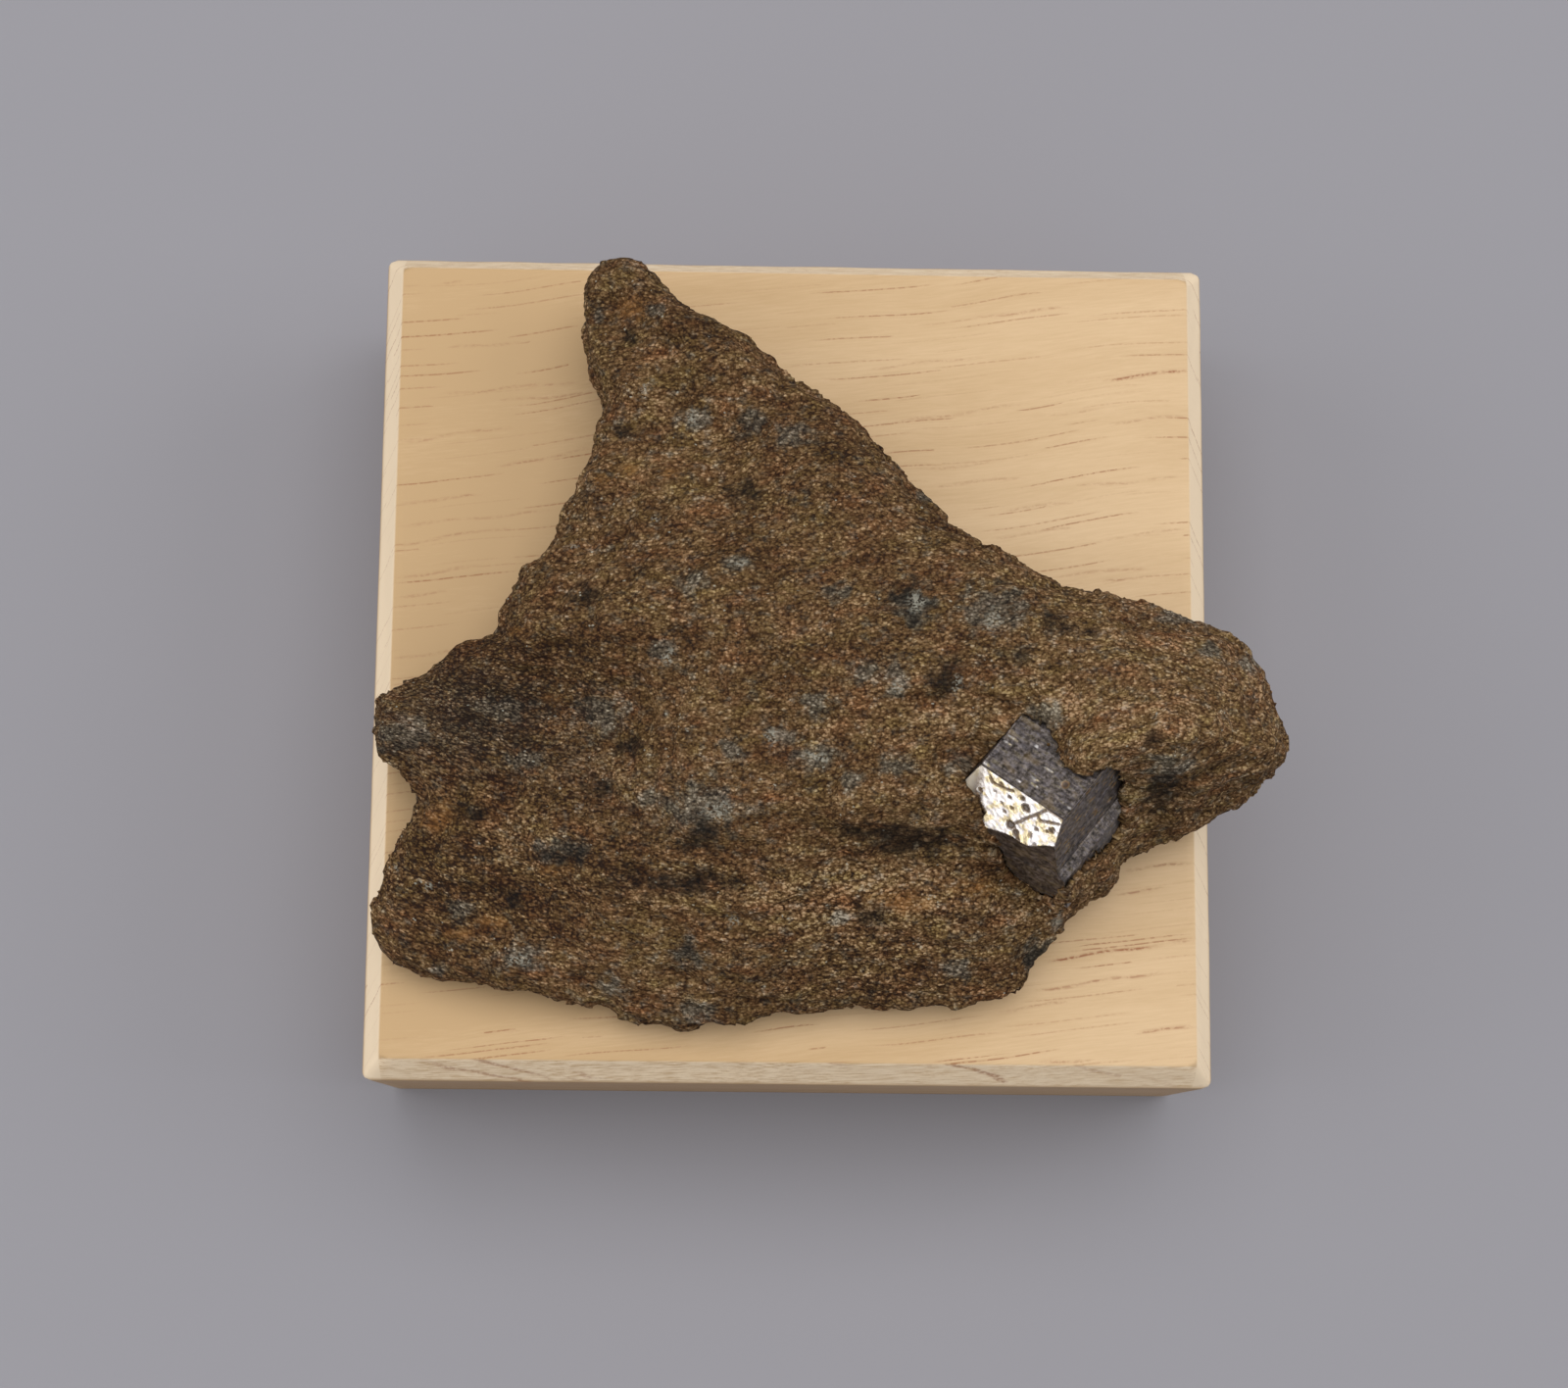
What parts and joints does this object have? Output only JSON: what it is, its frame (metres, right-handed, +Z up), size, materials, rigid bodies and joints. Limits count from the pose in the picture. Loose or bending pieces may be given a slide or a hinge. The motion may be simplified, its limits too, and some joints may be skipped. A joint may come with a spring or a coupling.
{
  "type": "mineral specimen",
  "caption": "Blocky metallic cobaltite crystal in a rusty brown schist matrix with a pointed horn and lobes, fixed on a square pale wooden display block.",
  "frame": {"origin": "middle of the display block's underside", "axes": "+Z up, +X to the right along the front of the block, +Y to the back, towards the horn of the rock"},
  "size_m": [0.0961, 0.09, 0.0575],
  "materials": {
    "pale_wood": "bare, finely sanded pale hardwood with dark dashed vessels",
    "brown_schist": "rough, fine-grained, rusty brown with grey-green patches",
    "cobaltite_metal": "metallic, silver-grey, striated and pitted, with brown stains"
  },
  "bodies": {
    "root": {"display_block": "pale_wood", "matrix_rock": "brown_schist", "cobaltite_crystal": "cobaltite_metal"}
  },
  "joints": []
}
